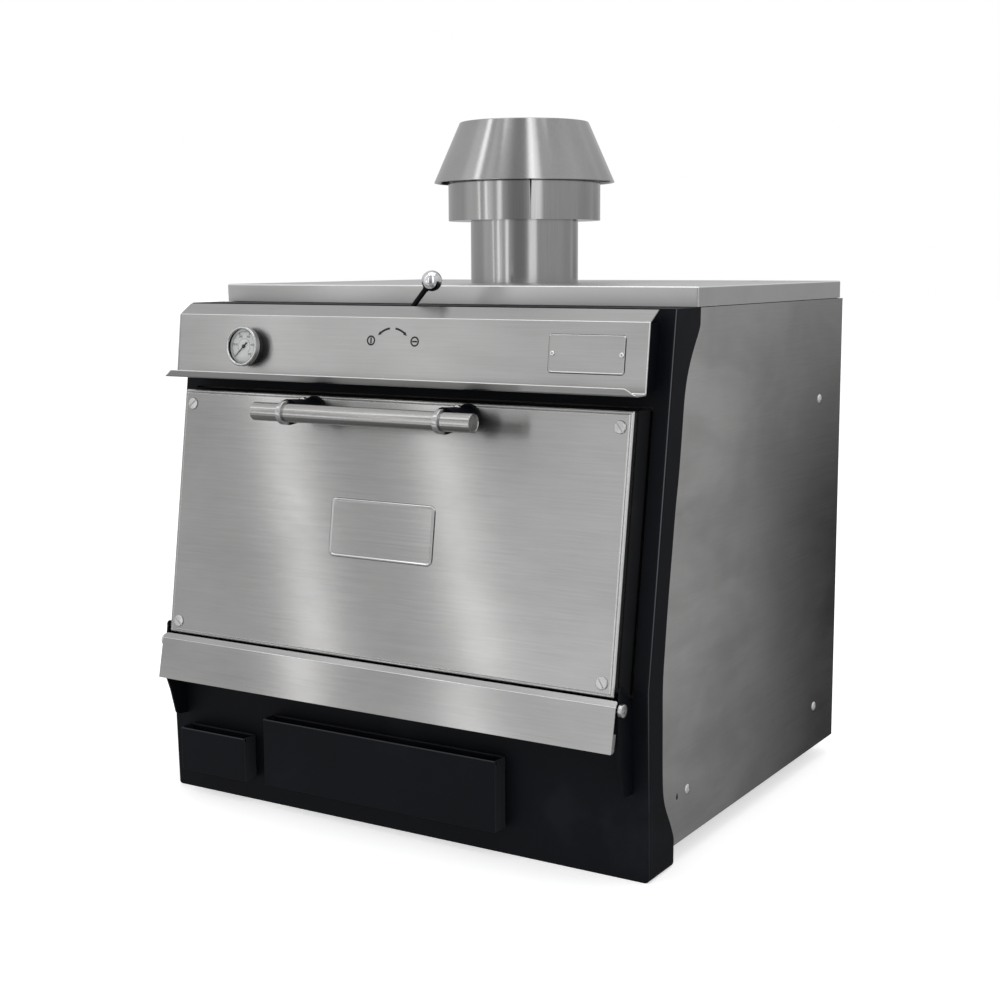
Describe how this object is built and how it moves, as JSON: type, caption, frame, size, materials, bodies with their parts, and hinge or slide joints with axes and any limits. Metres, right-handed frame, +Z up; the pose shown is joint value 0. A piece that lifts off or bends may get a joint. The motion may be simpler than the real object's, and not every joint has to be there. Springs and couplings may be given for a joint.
{
  "type": "charcoal oven",
  "caption": "Counter-top charcoal oven with sloping drop-down door, fascia with gauge and damper lever, capped flue, ash drawer and air drawer.",
  "frame": {"origin": "centre of the footprint on the worktop, halfway across the width and depth", "axes": "+X to the right seen from the front, the front faces -Y, +Z up"},
  "size_m": [0.901, 0.8374, 1.1167],
  "materials": {
    "black_coat": "fine satin black stove coating",
    "brass": "dull",
    "brushed_stainless": "brushed, satin",
    "cast_iron": "raw, heat-darkened",
    "chrome": "polished",
    "dial_white": "matt printed dial",
    "glass": "clear",
    "mineral_wool": "fibrous",
    "pointer_black": "matt",
    "raw_steel": "hot-rolled, dull",
    "rope_seal": "woven heat seal",
    "rubber": "matt"
  },
  "bodies": {
    "oven": {"front_frame": "black_coat", "side_panel_left": "brushed_stainless", "side_panel_right": "brushed_stainless", "rear_panel": "brushed_stainless", "panel_screws": "brushed_stainless", "top_lid": "brushed_stainless", "lid_gasket": "rope_seal", "base_plate": "raw_steel", "feet": "rubber", "firing_chamber": "raw_steel", "chamber_legs": "raw_steel", "insulation_blanket": "mineral_wool", "grate_ledges": "raw_steel", "charcoal_grate": "cast_iron", "rack_rails": "raw_steel", "cooking_grid": "brushed_stainless", "ash_funnel": "raw_steel", "ash_housing": "raw_steel", "air_duct": "raw_steel", "flue_duct": "raw_steel", "flue_pipe": "brushed_stainless", "arrestor_ring": "brushed_stainless", "arrestor_mesh": "brushed_stainless", "flue_cap": "brushed_stainless", "cap_brackets": "brushed_stainless", "shaft_bushes": "brass", "fascia_panel": "brushed_stainless", "fascia_brackets": "black_coat", "fascia_plate": "brushed_stainless", "plate_rivets": "brushed_stainless", "gauge_case": "brushed_stainless", "gauge_bezel": "brushed_stainless", "gauge_dial": "dial_white", "gauge_glass": "glass", "gauge_probe": "raw_steel", "hinge_bracket_left": "black_coat", "hinge_bracket_right": "black_coat", "bracket_bolts": "brushed_stainless", "sill_lip": "brushed_stainless"},
    "door": {"door_skin": "brushed_stainless", "door_body": "black_coat", "door_insulation": "mineral_wool", "door_liner": "brushed_stainless", "door_gasket": "rope_seal", "door_plate": "brushed_stainless", "door_screws": "brushed_stainless", "handle_bar": "brushed_stainless", "handle_collars": "brushed_stainless", "handle_posts": "black_coat", "handle_screws": "brushed_stainless", "hinge_pins": "raw_steel"},
    "damper": {"damper_shaft": "raw_steel", "damper_disc": "raw_steel", "lever_rod": "black_coat", "lever_knob": "chrome"},
    "ash_drawer": {"ash_drawer_front": "black_coat", "ash_drawer_tray": "raw_steel"},
    "air_drawer": {"air_drawer": "black_coat"},
    "gauge_needle": {"gauge_pointer": "pointer_black"}
  },
  "joints": [
    {"name": "door_hinge", "type": "hinge", "parent": "oven", "child": "door", "pos_m": [0, -0.36936, 0.29042], "axis": [1, 0, 0], "range_deg": [0, 98]},
    {"name": "damper_hinge", "type": "hinge", "parent": "oven", "child": "damper", "pos_m": [0, 0.0802, 0.806], "axis": [0, 1, 0], "range_deg": [-90, 0]},
    {"name": "ash_drawer_slide", "type": "slide", "parent": "oven", "child": "ash_drawer", "axis": [0, -1, 0], "range_m": [0, 0.35]},
    {"name": "air_drawer_slide", "type": "slide", "parent": "oven", "child": "air_drawer", "axis": [0, -1, 0], "range_m": [0, 0.07]},
    {"name": "gauge_needle_turn", "type": "hinge", "parent": "oven", "child": "gauge_needle", "pos_m": [-0.281, -0.31445, 0.75098], "axis": [0, -0.9926, 0.1217], "range_deg": [-270, 0]}
  ]
}
